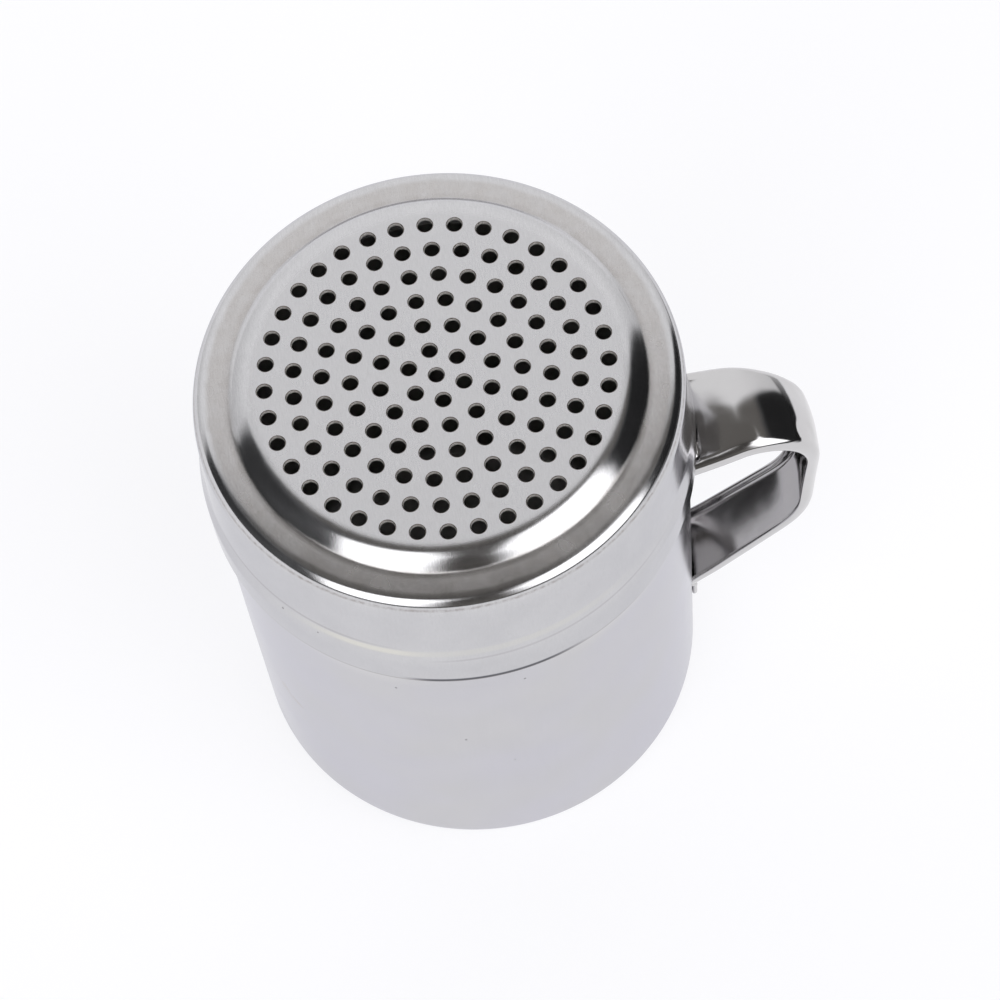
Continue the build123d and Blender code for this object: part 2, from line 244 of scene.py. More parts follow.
# the dark ceiling overhead is a little warm, the dark sides are a little cool
dim = w.mixc(w.band(X, -26.0, -14.0, 24.0, 36.0), rgb(0.955, 0.965, 1.0), rgb(1.0, 0.94, 0.875))
w.put(light.inputs[0], w.mixc(w.step(room, 0.02, 0.55), dim, rgb(0.988, 0.986, 1.0)))
w.put(light.inputs[1], room)
seen = w.new("ShaderNodeBackground")
seen.inputs[0].default_value = rgb(0.975, 0.975, 0.980)
seen.inputs[1].default_value = 1.0
pick = w.new("ShaderNodeMixShader")
w.put(pick.inputs[0], ray.outputs["Is Camera Ray"])
w.put(pick.inputs[1], light.outputs[0])
w.put(pick.inputs[2], seen.outputs[0])
out = w.new("ShaderNodeOutputWorld")
w.put(out.inputs[0], pick.outputs[0])


# -------------------------------------------------------------- stage pieces
def plain(name, colour, rough, glow=0.0):
    m = bpy.data.materials.new(name)
    m.use_nodes = True
    t = Tree(m.node_tree)
    p = t.new("ShaderNodeBsdfPrincipled")
    p.inputs["Base Color"].default_value = rgb(*colour)
    p.inputs["Roughness"].default_value = rough
    p.inputs["Specular IOR Level"].default_value = 0.0
    if glow:
        p.inputs["Emission Color"].default_value = rgb(0.98, 0.98, 1.0)
        p.inputs["Emission Strength"].default_value = glow
    o = t.new("ShaderNodeOutputMaterial")
    t.put(o.inputs[0], p.outputs[0])
    return m


def mesh_object(name, verts, faces, *materials):
    me = bpy.data.meshes.new(name)
    me.from_pydata(verts, [], faces)
    for m in materials:
        me.materials.append(m)
    o = bpy.data.objects.new(name, me)
    scene.collection.objects.link(o)
    return o


table_mat = plain("table_white", (0.24, 0.24, 0.245), 0.9, glow=0.80)
ring = [(4.0 * math.cos(a), 4.0 * math.sin(a), -0.0003)
        for a in (2 * math.pi * i / 96 for i in range(96))]
table_top = mesh_object("table_top", ring, [tuple(range(96))], table_mat)

# black flag on the right side of the set, feathered at its edges; only reflections see it
flag_mat = bpy.data.materials.new("flag_black")
flag_mat.use_nodes = True
cloth = Tree(flag_mat.node_tree)
fx, fy, fz = cloth.split(cloth.new("ShaderNodeTexCoord").outputs["Object"])
turned = cloth.mul(cloth.math("ARCTAN2", fy, fx), 180.0 / math.pi)
veil = cloth.mul(cloth.band(turned, -33.0, -2.0, 22.0, 52.0), cloth.band(fz, 0.012, 0.038, 0.096, 0.124))
clear = cloth.new("ShaderNodeBsdfTransparent")
black = cloth.new("ShaderNodeBsdfDiffuse")
black.inputs["Color"].default_value = rgb(0.02, 0.02, 0.02)
blend = cloth.new("ShaderNodeMixShader")
cloth.put(blend.inputs[0], veil)
cloth.put(blend.inputs[1], clear.outputs[0])
cloth.put(blend.inputs[2], black.outputs[0])
cloth.put(cloth.new("ShaderNodeOutputMaterial").inputs[0], blend.outputs[0])
R, H = 0.45, 0.124
arc = [math.radians(a) for a in range(-34, 56, 2)]
verts = [(R * math.cos(a), R * math.sin(a), h) for a in arc for h in (0.012, H)]
faces = [(2 * i, 2 * i + 2, 2 * i + 3, 2 * i + 1) for i in range(len(arc) - 1)]
flag = mesh_object("flag_right", verts, faces, flag_mat)
flag.visible_camera = False
flag.visible_diffuse = False
flag.visible_shadow = False


# --------------------------------------------------------------- materials
def steel_base(name):
    m = bpy.data.materials.new(name)
    m.use_nodes = True
    t = Tree(m.node_tree)
    p = t.new("ShaderNodeBsdfPrincipled")
    p.inputs["Metallic"].default_value = 1.0
    o = t.new("ShaderNodeOutputMaterial")
    t.put(o.inputs[0], p.outputs[0])
    c = t.new("ShaderNodeTexCoord").outputs["Object"]
    return m, t, p, c


def lid_steel():
    m, t, p, c = steel_base("lid_satin_and_polish")
    x, y, z = t.split(c)
    r = t.math("SQRT", t.add(t.mul(x, x), t.mul(y, y)))
    ux = t.math("DIVIDE", x, t.math("MAXIMUM", r, 1e-5))
    uy = t.math("DIVIDE", y, t.math("MAXIMUM", r, 1e-5))
    # zones: satin panel and satin rim ring, the rest is polished
    wob = t.mul(t.sub(t.noise(c, 260.0, 2.0, 0.5), 0.5), 0.0007)
    rw = t.add(r, wob)
    panel = t.mul(t.step(rw, 0.02640, 0.02520), t.step(z, 0.0892, 0.0896))
    rim = t.mul(t.band(rw, 0.02845, 0.02885, 0.0313, 0.0322), t.step(z, 0.0870, 0.0875))
    crease_shade = t.mul(t.band(rw, 0.0279, 0.0286, 0.0290, 0.0299), t.step(z, 0.0870, 0.0875))
    # grain
    fine = t.noise(c, 5200.0, 3.0, 0.6)
    mill = t.noise(t.join(t.mul(x, 7000.0), t.mul(y, 700.0), t.mul(z, 700.0)), 1.0, 3.0, 0.65)
    cloud = t.noise(c, 160.0, 3.0, 0.55)
    lathe = t.noise(t.join(t.mul(ux, 26.0), t.mul(uy, 26.0), t.mul(r, 9000.0)), 1.0, 3.0, 0.6)
    hair = t.noise(t.join(t.mul(ux, 230.0), t.mul(uy, 230.0), t.mul(r, 600.0)), 1.0, 3.0, 0.65)
    # roughness
    rough = t.mix(panel, t.lin(cloud, 0.3, 0.7, 0.10, 0.15), t.lin(cloud, 0.3, 0.7, 0.25, 0.31))
    rough = t.mix(rim, rough, t.lin(cloud, 0.3, 0.7, 0.22, 0.29))
    t.put(p.inputs["Roughness"], rough)
    # colour: a faint warm film on the rim, a little uneven everywhere
    col = t.mixc(t.lin(cloud, 0.3, 0.7, 0.0, 1.0), rgb(0.585, 0.582, 0.592), rgb(0.620, 0.617, 0.625))
    film = t.lin(t.noise(c, 420.0, 4.0, 0.65), 0.30, 0.70, 0.50, 0.88)
    col = t.mixc(t.mul(rim, film), col, rgb(0.508, 0.487, 0.473))
    # painted shade: the crease at the foot of the shoulder is darkened in the colour
    col = t.mixc(t.mul(crease_shade, t.lin(film, 0.35, 0.95, 0.05, 0.35)), col, rgb(0.36, 0.34, 0.325))
    grain = t.add(t.mul(t.sub(mill, 0.5), 1.0), t.mul(t.sub(fine, 0.5), 0.8))
    grain = t.mul(grain, t.mix(t.step(z, 0.0860, 0.0870), 0.45, 1.0))
    col = t.mixc(t.lin(grain, -0.28, 0.28, 0.0, 1.0), t.mixc(1.0, col, rgb(0.925, 0.925, 0.925), "MULTIPLY"),
                 t.mixc(1.0, col, rgb(1.07, 1.07, 1.07), "MULTIPLY"))
    streak = t.mul(rim, t.step(hair, 0.60, 0.78))
    col = t.mixc(t.mul(streak, 0.45), col, rgb(0.36, 0.335, 0.315))
    # painted dark reflection: a thin broken brown line along the corner's lower edge
    edge = t.band(z, 0.08650, 0.08685, 0.08692, 0.08718)
    speckle = t.step(t.noise(c, 1300.0, 4.0, 0.75), 0.36, 0.66)
    col = t.mixc(t.mul(edge, t.mix(speckle, 0.10, 0.50)), col, rgb(0.22, 0.185, 0.16))
    # swaged band: thin grey lines, and between them a paler stretch and a glint that are painted highlights,
    # by angle round the lid
    th = t.mul(t.math("ARCTAN2", x, t.mul(y, -1.0)), 180.0 / math.pi)   # 0 at -Y, 90 at the handle
    zt = t.sub(z, t.mul(th, 0.000016))
    skirt = t.step(z, 0.0805, 0.0795)
    line_a = t.mul(t.band(z, 0.07470, 0.07500, 0.07515, 0.07545), t.band(th, -82.0, -58.0, -38.0, -14.0))
    line_b = t.mul(t.band(zt, 0.07235, 0.07262, 0.07275, 0.07302), t.band(th, -16.0, -2.0, 34.0, 60.0))
    painted_sheen = t.mul(t.band(zt, 0.07345, 0.07425, 0.07485, 0.07545), t.band(th, -60.0, -26.0, 16.0, 46.0))
    glint = t.mul(t.band(z, 0.07335, 0.07395, 0.07440, 0.07500), t.band(th, -46.0, -30.0, -22.0, -10.0))
    col = t.mixc(t.mul(painted_sheen, 0.30), col, rgb(0.690, 0.680, 0.610))
    col = t.mixc(t.mul(glint, 0.75), col, rgb(0.740, 0.725, 0.660))
    col = t.mixc(t.mul(line_a, 0.55), col, rgb(0.420, 0.405, 0.410))
    col = t.mixc(t.mul(line_b, 0.42), col, rgb(0.430, 0.410, 0.430))
    # shadow line where the skirt's edge meets the canister
    seam = t.step(z, 0.06685, 0.06640)
    deep = t.band(th, -21.0, -12.0, 13.0, 27.0)
    col = t.mixc(t.mul(seam, t.mul(deep, 0.93)), col, rgb(0.035, 0.037, 0.050))
    # a fainter grey-brown painted shadow along more of the skirt's edge
    thin = t.mul(t.step(z, 0.06620, 0.06595), t.band(th, -80.0, -60.0, 30.0, 52.0))
    col = t.mixc(t.mul(thin, 0.50), col, rgb(0.330, 0.300, 0.270))
    marks = None
    for at, height, wide in ((-39.2, 72.8, 0.16), (6.7, 75.5, 0.17), (-1.2, 74.7, 0.15),
                             (-49.0, 73.5, 0.17), (31.0, 79.6, 0.13)):
        k = t.spot(x, y, z, at - 90.0, height, wide, wide * 1.5, 34.75)
        marks = k if marks is None else t.math("MAXIMUM", marks, k)
    col = t.mixc(t.mul(marks, 0.75), col, rgb(0.16, 0.15, 0.15))
    t.put(p.inputs["Base Color"], col)
    p.inputs["Specular Tint"].default_value = rgb(0.80, 0.80, 0.82)
    # bump
    h = t.mul(t.sub(fine, 0.5), t.mix(panel, 0.6, 0.9))
    h = t.add(h, t.mul(t.sub(mill, 0.5), t.mix(panel, 1.0, 0.5)))
    h = t.add(h, t.mul(t.sub(lathe, 0.5), t.mul(rim, 1.4)))
    h = t.add(h, t.mul(t.sub(hair, 0.5), t.mul(rim, 1.6)))
    t.put(p.inputs["Normal"], t.bump(h, 0.0000026))
    return m


def body_steel():
    m, t, p, c = steel_base("canister_satin")
    x, y, z = t.split(c)
    r = t.math("SQRT", t.add(t.mul(x, x), t.mul(y, y)))
    ux = t.math("DIVIDE", x, t.math("MAXIMUM", r, 1e-5))
    uy = t.math("DIVIDE", y, t.math("MAXIMUM", r, 1e-5))
    cloud = t.noise(c, 120.0, 3.0, 0.55)
    lines = t.noise(t.join(t.mul(ux, 4.0), t.mul(uy, 4.0), t.mul(z, 5200.0)), 1.0, 4.0, 0.6)
    fine = t.noise(c, 5200.0, 3.0, 0.6)
    t.put(p.inputs["Roughness"], t.lin(cloud, 0.3, 0.7, 0.15, 0.20))
    col = t.mixc(t.lin(cloud, 0.3, 0.7, 0.0, 1.0), rgb(0.600, 0.597, 0.612), rgb(0.617, 0.615, 0.629))
    tint = t.noise(c, 55.0, 2.0, 0.5)
    col = t.mixc(t.lin(tint, 0.35, 0.65, 0.0, 1.0), t.mixc(1.0, col, rgb(1.008, 1.002, 0.985), "MULTIPLY"),
                 t.mixc(1.0, col, rgb(1.0, 0.992, 1.018), "MULTIPLY"))
    upright = t.noise(t.join(t.mul(ux, 900.0), t.mul(uy, 900.0), t.mul(z, 120.0)), 1.0, 3.0, 0.6)
    grain = t.add(t.mul(t.sub(upright, 0.5), 0.9), t.mul(t.sub(fine, 0.5), 0.6))
    col = t.mixc(t.lin(grain, -0.3, 0.3, 0.0, 1.0), t.mixc(1.0, col, rgb(0.965, 0.965, 0.965), "MULTIPLY"),
                 t.mixc(1.0, col, rgb(1.035, 1.035, 1.035), "MULTIPLY"))
    th = t.mul(t.math("ARCTAN2", x, t.mul(y, -1.0)), 180.0 / math.pi)   # 0 at -Y, 90 at the handle
    # painted highlight: a paler band on the canister just under the lid's edge, to either side of the front
    painted_sheen = t.mul(t.band(z, 0.0600, 0.0632, 0.0660, 0.0672),
                 t.math("MAXIMUM", t.band(th, -64.0, -36.0, -26.0, -8.0), t.band(th, 10.0, 28.0, 40.0, 60.0)))
    col = t.mixc(t.mul(painted_sheen, 0.45), col, rgb(0.700, 0.692, 0.670))
    marks = None
    for at, height, wide in ((-22.5, 59.4, 0.20), (8.3, 60.0, 0.19), (-8.0, 41.0, 0.20), (3.0, 30.5, 0.13)):
        k = t.spot(x, y, z, at - 90.0, height, wide, wide * 1.5, 34.1)
        marks = k if marks is None else t.math("MAXIMUM", marks, k)
    col = t.mixc(t.mul(marks, 0.6), col, rgb(0.20, 0.19, 0.19))
    smear = t.math("MAXIMUM", t.spot(x, y, z, -151.8, 30.3, 1.1, 1.1, 34.1),
                   t.spot(x, y, z, -148.0, 28.9, 1.9, 0.8, 34.1))
    col = t.mixc(t.mul(smear, t.lin(t.noise(c, 1600.0, 3.0, 0.6), 0.35, 0.65, 0.10, 0.55)),
                 col, rgb(0.50, 0.44, 0.37))
    t.put(p.inputs["Base Color"], col)
    p.inputs["Specular Tint"].default_value = rgb(0.82, 0.82, 0.85)
    h = t.add(t.mul(t.sub(lines, 0.5), 1.0), t.mul(t.sub(fine, 0.5), 0.25))
    t.put(p.inputs["Normal"], t.bump(h, 0.0000020))
    return m


def strap_steel():
    m, t, p, c = steel_base("strap_polish")
    cloud = t.noise(c, 170.0, 3.0, 0.55)
    fine = t.noise(c, 5200.0, 3.0, 0.6)
    wave = t.noise(c, 230.0, 1.0, 0.4)
    t.put(p.inputs["Roughness"], t.lin(cloud, 0.3, 0.7, 0.07, 0.12))
    col = t.mixc(t.lin(cloud, 0.3, 0.7, 0.0, 1.0), rgb(0.585, 0.575, 0.575), rgb(0.615, 0.608, 0.612))
    t.put(p.inputs["Base Color"], col)
    n = t.bump(t.sub(wave, 0.5), 0.00006)
    t.put(p.inputs["Normal"], t.bump(t.sub(fine, 0.5), 0.0000005, normal=n))
    return m


def inside_steel():
    """Unpolished inner faces of the cup and the lid, drawn and left as they came."""
    m, t, p, c = steel_base("inside_drawn")
    x, y, z = t.split(c)
    cloud = t.noise(c, 90.0, 3.0, 0.6)
    draw = t.noise(t.join(t.mul(x, 1500.0), t.mul(y, 1500.0), t.mul(z, 60.0)), 1.0, 3.0, 0.6)
    t.put(p.inputs["Roughness"], t.lin(cloud, 0.3, 0.7, 0.52, 0.64))
    col = t.mixc(t.lin(cloud, 0.3, 0.7, 0.0, 1.0), rgb(0.43, 0.42, 0.415), rgb(0.50, 0.49, 0.48))
    t.put(p.inputs["Base Color"], col)
    t.put(p.inputs["Normal"], t.bump(t.sub(draw, 0.5), 0.000006))
    return m


def weld_steel():
    m, t, p, c = steel_base("weld_nugget")
    spots = t.noise(c, 1500.0, 3.0, 0.6)
    t.put(p.inputs["Roughness"], t.lin(spots, 0.3, 0.7, 0.28, 0.45))
    col = t.mixc(t.lin(spots, 0.35, 0.65, 0.0, 1.0), rgb(0.40, 0.38, 0.36), rgb(0.52, 0.50, 0.49))
    t.put(p.inputs["Base Color"], col)
    t.put(p.inputs["Normal"], t.bump(t.sub(spots, 0.5), 0.00003))
    return m


def punched_steel():
    """Sheared wall of a punched hole: dull and open to the light from all sides."""
    m, t, p, c = steel_base("hole_wall_sheared")
    spots = t.noise(c, 2600.0, 2.0, 0.6)
    p.inputs["Metallic"].default_value = 0.15
    p.inputs["Roughness"].default_value = 0.55
    col = t.mixc(t.lin(spots, 0.35, 0.65, 0.0, 1.0), rgb(0.50, 0.48, 0.455), rgb(0.66, 0.64, 0.615))
    t.put(p.inputs["Base Color"], col)
    return m


def edge_steel():
    """Rolled edge of a punched hole, painted nearly black as shade round the hole's mouth."""
    m, t, p, c = steel_base("hole_edge_painted_shade")
    spots = t.noise(c, 1800.0, 2.0, 0.6)
    p.inputs["Roughness"].default_value = 0.42
    col = t.mixc(t.lin(spots, 0.35, 0.65, 0.0, 1.0), rgb(0.050, 0.040, 0.034), rgb(0.13, 0.108, 0.092))
    t.put(p.inputs["Base Color"], col)
    return m


LID_MAT = lid_steel()
BODY_MAT = body_steel()
STRAP_MAT = strap_steel()
INSIDE_MAT = inside_steel()
WELD_MAT = weld_steel()
HOLE_MAT = punched_steel()
EDGE_MAT = edge_steel()

# ------------------------------------------------- dimensions, as in the CAD
MM = 0.001
TOTAL_H = 90.0
BODY_R, BODY_T, BODY_H, FOOT_R = 34.1, 0.6, 73.0, 3.0
LID_T = 0.6
PANEL_R, SHOULDER_R = 25.0, 5.1
RING_A, RING_FLAT_R, RING_DISH_R = (4.2, 11.0), 30.45, 20.0
CORNER_A, CORNER_R1, CORNER_R2, CORNER_C2 = 55.3, 1.7, 3.1, (30.8, 85.52)
SKIRT_MID_R, SKIRT_MID_Z = 34.42, 75.3
BAND_R, BAND_Z, LID_EDGE_Z = 35.05, 71.7, 65.7
HOLE_R, HOLE_ROLL, HOLE_PITCH, HOLE_RINGS, HOLE_START = 1.05, 0.13, 3.92, 6, 35.0
STRAP_T = 0.8
SEG = 304               # segments round the axis


def polar(c, r, slope):
    a = math.radians(slope)
    return (c[0] + r * math.sin(a), c[1] + r * math.cos(a))


def meet(c0, r0, c1, r1):
    d = math.dist(c0, c1)
    k = (r0 * r0 - r1 * r1 + d * d) / (2 * d)
    h = math.sqrt(r0 * r0 - k * k)
    ux, uy = (c1[0] - c0[0]) / d, (c1[1] - c0[1]) / d
    pts = [(c0[0] + k * ux - s * h * uy, c0[1] + k * uy + s * h * ux) for s in (1, -1)]
    return max(pts, key=lambda q: q[0])


def slope_of(c, p):
    return math.degrees(math.atan2(p[0] - c[0], p[1] - c[1]))


def arc_points(c, r, a0, a1):
    n = max(3, int(abs(r * math.radians(a1 - a0)) / 0.02))
    return [polar(c, r, a0 + (a1 - a0) * i / n) for i in range(n + 1)]


def even(points, step):
    """The same polyline with points a fixed distance apart."""
    p = np.array(points, float)
    d = np.hypot(*np.diff(p, axis=0).T)
    p = p[np.concatenate(([True], d > 1e-9))]
    s = np.concatenate(([0.0], np.cumsum(np.hypot(*np.diff(p, axis=0).T))))
    u = np.linspace(0.0, s[-1], int(round(s[-1] / step)) + 1)
    return np.column_stack((np.interp(u, s, p[:, 0]), np.interp(u, s, p[:, 1])))


def blur(p, step, sigma):
    """Round a polyline's corners; its two ends stay."""
    n = int(4 * sigma / step)
    k = np.exp(-0.5 * (np.arange(-n, n + 1) * step / sigma) ** 2)
    k /= k.sum()
    a = np.vstack((2 * p[0] - p[n:0:-1], p, 2 * p[-1] - p[-2:-n - 2:-1]))
    return np.column_stack([np.convolve(a[:, i], k, "valid") for i in range(2)])


def thin_out(p, turn=2.2, reach=1.6):
    """Keep a point each few degrees of turn, with unit normals to the left."""
    t = np.gradient(p, axis=0)
    t /= np.linalg.norm(t, axis=1)[:, None]
    ang = np.unwrap(np.arctan2(t[:, 1], t[:, 0]))
    keep, last, run = [0], ang[0], 0.0
    for i in range(1, len(p) - 1):
        run += math.dist(p[i], p[i - 1])
        if abs(ang[i] - last) > math.radians(turn) or run > reach:
            keep.append(i)
            last, run = ang[i], 0.0
    keep.append(len(p) - 1)
    n = np.column_stack((-t[:, 1], t[:, 0]))
    return p[keep], n[keep]


def finish_mesh(o, normals, body, node):
    """Smooth shading from exact normals, and the piece's place in the frame."""
    me = o.data
    me.validate()
    me.polygons.foreach_set("use_smooth", [True] * len(me.polygons))
    me.update()
    if normals is not None:
        me.normals_split_custom_set_from_vertices([tuple(map(float, n)) for n in normals])
    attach(o, body)
    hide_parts(node)
    return o


# ----------------------------------------------------------------------- lid
sh_c = (PANEL_R, TOTAL_H - SHOULDER_R)
co_p = polar(CORNER_C2, CORNER_R2, CORNER_A)
co_c = polar(co_p, -CORNER_R1, CORNER_A)
ring_p = polar(co_c, CORNER_R1, RING_A[1])
ring_r = (ring_p[0] - RING_FLAT_R) / (math.sin(math.radians(RING_A[1]))
                                      - math.sin(math.radians(RING_A[0])))
ring_c = polar(ring_p, -ring_r, RING_A[1])
flat_p = polar(ring_c, ring_r, RING_A[0])
dish_c = polar(flat_p, RING_DISH_R, RING_A[0])
flare = math.degrees(math.atan2(CORNER_C2[1] - SKIRT_MID_Z,
                                SKIRT_MID_R - CORNER_C2[0] - CORNER_R2))


def lid_side(t):
    """Outside of the cap (t = 0) or its inside (t = sheet), from the panel down."""
    sh = meet(sh_c, SHOULDER_R - t, dish_c, RING_DISH_R + t)
    pts = [(20.0, TOTAL_H - t), (PANEL_R, TOTAL_H - t)]
    pts += arc_points(sh_c, SHOULDER_R - t, 0.0, slope_of(sh_c, sh))
    pts += arc_points(dish_c, -RING_DISH_R - t, slope_of(dish_c, sh) + 180.0, RING_A[0])
    pts += arc_points(ring_c, ring_r - t, RING_A[0], RING_A[1])
    pts += arc_points(co_c, CORNER_R1 - t, RING_A[1], CORNER_A)
    pts += arc_points(CORNER_C2, CORNER_R2 - t, CORNER_A, flare)
    skirt = even([pts[-1], (SKIRT_MID_R - t, SKIRT_MID_Z), (BAND_R - t, BAND_Z),
                  (BAND_R - t, LID_EDGE_Z)], 0.03)
    soft = blur(skirt, 0.03, 0.42)
    k = np.clip(np.minimum(skirt[:, 1] - 67.5, 79.5 - skirt[:, 1]) / 1.5, 0.0, 1.0)[:, None]
    return pts + [tuple(q) for q in skirt * (1 - k) + soft * k]


section = even(lid_side(0.0) + lid_side(LID_T)[::-1], 0.02)
soft = blur(section, 0.02, 0.24)
section = blur(section, 0.02, 0.11)
k = np.clip((np.abs(section[:, 0] - 28.75) - 0.8) / -0.5, 0.0, 1.0) * (section[:, 1] > 85.0)
section = section * (1 - k[:, None]) + soft * k[:, None]
PANEL_EDGE = 24.9
mid = len(section) // 2
first = int(np.argmax(section[:mid, 0] > PANEL_EDGE))
last = mid + int(np.argmax(section[mid:, 0] < PANEL_EDGE))
section[first, 0] = section[last, 0] = PANEL_EDGE
cut, cut_n = thin_out(section[first:last + 1])
cut_n[0], cut_n[-1] = (0.0, 1.0), (0.0, -1.0)

verts, norms, faces, inner = [], [], [], []
angle = [2 * math.pi * i / SEG for i in range(SEG)]
for (r, h), (nr, nh) in zip(cut, cut_n):
    for a in angle:
        verts.append((r * math.cos(a), r * math.sin(a), h))
        norms.append((nr * math.cos(a), nr * math.sin(a), nh))
lip = int(np.argmin(cut[:, 1]))                 # the cut edge parts outside from inside
for j in range(len(cut) - 1):
    for i in range(SEG):
        k = (i + 1) % SEG
        faces.append((j * SEG + i, (j + 1) * SEG + i, (j + 1) * SEG + k, j * SEG + k))
        inner.append(1 if j > lip + 1 else 0)

# perforated panel: both faces share one triangulation between the rims
HSEG = 32
centres = [(0.0, 0.0)]
for q in range(1, HOLE_RINGS + 1):
    for i in range(6 * q):
        a = math.radians(HOLE_START) + 2 * math.pi * i / (6 * q)
        centres.append((q * HOLE_PITCH * math.cos(a), q * HOLE_PITCH * math.sin(a)))
rim_r = HOLE_R + HOLE_ROLL
flat2d = [(PANEL_EDGE * math.cos(a), PANEL_EDGE * math.sin(a)) for a in angle]
bounds2d = [(i, (i + 1) % SEG) for i in range(SEG)]
rim_dir = [(math.cos(2 * math.pi * i / HSEG), math.sin(2 * math.pi * i / HSEG))
           for i in range(HSEG)]
for cx, cy in centres:
    b = len(flat2d)
    flat2d += [(cx + rim_r * u, cy + rim_r * v) for u, v in rim_dir]
    bounds2d += [(b + i, b + (i + 1) % HSEG) for i in range(HSEG)]
tri_v, _, tris, origin, _, _ = delaunay_2d_cdt(flat2d, bounds2d, [], 0, 1e-6)
back = [o[0] for o in origin]                   # triangulation vertex to input vertex
at = np.array(centres)
solid = []
for tri in tris:
    mx = sum(tri_v[i][0] for i in tri) / 3
    my = sum(tri_v[i][1] for i in tri) / 3
    if np.min((at[:, 0] - mx) ** 2 + (at[:, 1] - my) ** 2) > (rim_r * 0.9935) ** 2:
        solid.append([back[i] for i in tri])

# each hole: rolled rim, bore, slightly broken lower edge
wall = []                                       # radius, height, normal out and up
for i in range(6):
    a = math.radians(90.0 * i / 5)
    wall.append((rim_r - HOLE_ROLL * math.sin(a), TOTAL_H - HOLE_ROLL * (1 - math.cos(a)),
                 -math.sin(a), math.cos(a)))
wall.append((HOLE_R, TOTAL_H - LID_T + 0.05, -1.0, 0.0))
wall.append((HOLE_R + 0.015, TOTAL_H - LID_T + 0.015, -0.7071, -0.7071))
wall.append((HOLE_R + 0.05, TOTAL_H - LID_T, 0.0, -1.0))
first_hole = len(verts)
for cx, cy in centres:
    for r, h, nr, nh in wall:
        for u, v in rim_dir:
            verts.append((cx + r * u, cy + r * v, h))
            norms.append((nr * u, nr * v, nh))
per = len(wall) * HSEG
for q in range(len(centres)):
    b = first_hole + q * per
    for j in range(len(wall) - 1):
        for i in range(HSEG):
            k = (i + 1) % HSEG
            faces.append((b + j * HSEG + i, b + j * HSEG + k,
                          b + (j + 1) * HSEG + k, b + (j + 1) * HSEG + i))
            inner.append(2 if j > 2 else 3)


def panel_vertex(i, under):
    if i < SEG:
        return ((len(cut) - 1) * SEG + i) if under else i
    q, k = divmod(i - SEG, HSEG)
    return first_hole + q * per + (per - HSEG if under else 0) + k


for tri in solid:
    a, b, c = tri
    pa, pb, pc = (flat2d[i] for i in tri)
    if (pb[0] - pa[0]) * (pc[1] - pa[1]) - (pb[1] - pa[1]) * (pc[0] - pa[0]) < 0:
        a, c = c, a
    faces.append(tuple(panel_vertex(i, False) for i in (a, b, c)))
    inner.append(0)
    faces.append(tuple(panel_vertex(i, True) for i in (c, b, a)))
    inner.append(1)
# the grid's own sheet is turned the right way round
verts = [(a * MM, b * MM, c * MM) for a, b, c in verts]
lid_shell = mesh_object("lid_shell", verts, faces, LID_MAT, INSIDE_MAT, HOLE_MAT, EDGE_MAT)
lid_shell.data.polygons.foreach_set("material_index", inner)
finish_mesh(lid_shell, norms, "lid", "perforated_lid")


# ------------------------------------------------------------------ canister
def corner(c, r, a0, a1):
    n = max(3, int(abs(r * math.radians(a1 - a0)) / 0.02))
    return [(c[0] + r * math.cos(math.radians(a0 + (a1 - a0) * i / n)),
             c[1] + r * math.sin(math.radians(a0 + (a1 - a0) * i / n))) for i in range(n + 1)]


cup = [(0.0, BODY_T), (BODY_R - FOOT_R, BODY_T)]
cup += corner((BODY_R - FOOT_R, FOOT_R), FOOT_R - BODY_T, -90, 0)
cup += [(BODY_R - BODY_T, BODY_H), (BODY_R, BODY_H)]
cup += corner((BODY_R - FOOT_R, FOOT_R), FOOT_R, 0, -90)
cup += [(BODY_R - FOOT_R, 0.0), (0.0, 0.0)]
cup = blur(even(cup, 0.02), 0.02, 0.10)
cup[0] = (0.0, BODY_T)
cup[-1] = (0.0, 0.0)
cut, cut_n = thin_out(cup, 2.2, 3.0)
cut_n[0], cut_n[-1] = (0.0, 1.0), (0.0, -1.0)
verts, norms, faces, inner = [(0.0, 0.0, BODY_T)], [(0.0, 0.0, 1.0)], [], []
rows = list(zip(cut, cut_n))[1:-1]
for (r, h), (nr, nh) in rows:
    for a in angle:
        verts.append((r * math.cos(a), r * math.sin(a), h))
        norms.append((nr * math.cos(a), nr * math.sin(a), nh))
verts.append((0.0, 0.0, 0.0))
norms.append((0.0, 0.0, -1.0))
lip = int(np.argmax([q[0][1] for q in rows]))
for j in range(len(rows) - 1):
    for i in range(SEG):
        k = (i + 1) % SEG
        faces.append((1 + j * SEG + i, 1 + (j + 1) * SEG + i,
                      1 + (j + 1) * SEG + k, 1 + j * SEG + k))
        inner.append(1 if j < lip - 2 else 0)
for i in range(SEG):
    k = (i + 1) % SEG
    faces.append((0, 1 + k, 1 + i)[::-1])
    inner.append(1)
    b = 1 + (len(rows) - 1) * SEG
    faces.append((len(verts) - 1, b + k, b + i))
    inner.append(0)
verts = [(a * MM, b * MM, c * MM) for a, b, c in verts]
cup_shell = mesh_object("canister_shell", verts, faces, BODY_MAT, INSIDE_MAT)
cup_shell.data.polygons.foreach_set("material_index", inner)
finish_mesh(cup_shell, norms, "canister", "canister_body")

# -------------------------------------------------------------------- handle
# One strip of sheet.  Its outer face runs up the top tab, over the arm, down
# the back, in along the lower arm and down the lower tab.
ARM_TOP, BEND_TOP, BEND_LOW, ARM_LOW = (33.0, 63.15), (53.9, 66.4), (52.6, 34.6), (33.0, 14.37)
BEND_TOP_R, BEND_LOW_R, TAB_BEND_R, LOW_BEND_R = 11.4, 13.7, 1.25, 3.0
TAB_TOP, TAB_LOW = (5.6, 56.4), (4.9, 11.3)
WELDS = ((3.1, 59.3), (2.6, 13.3))


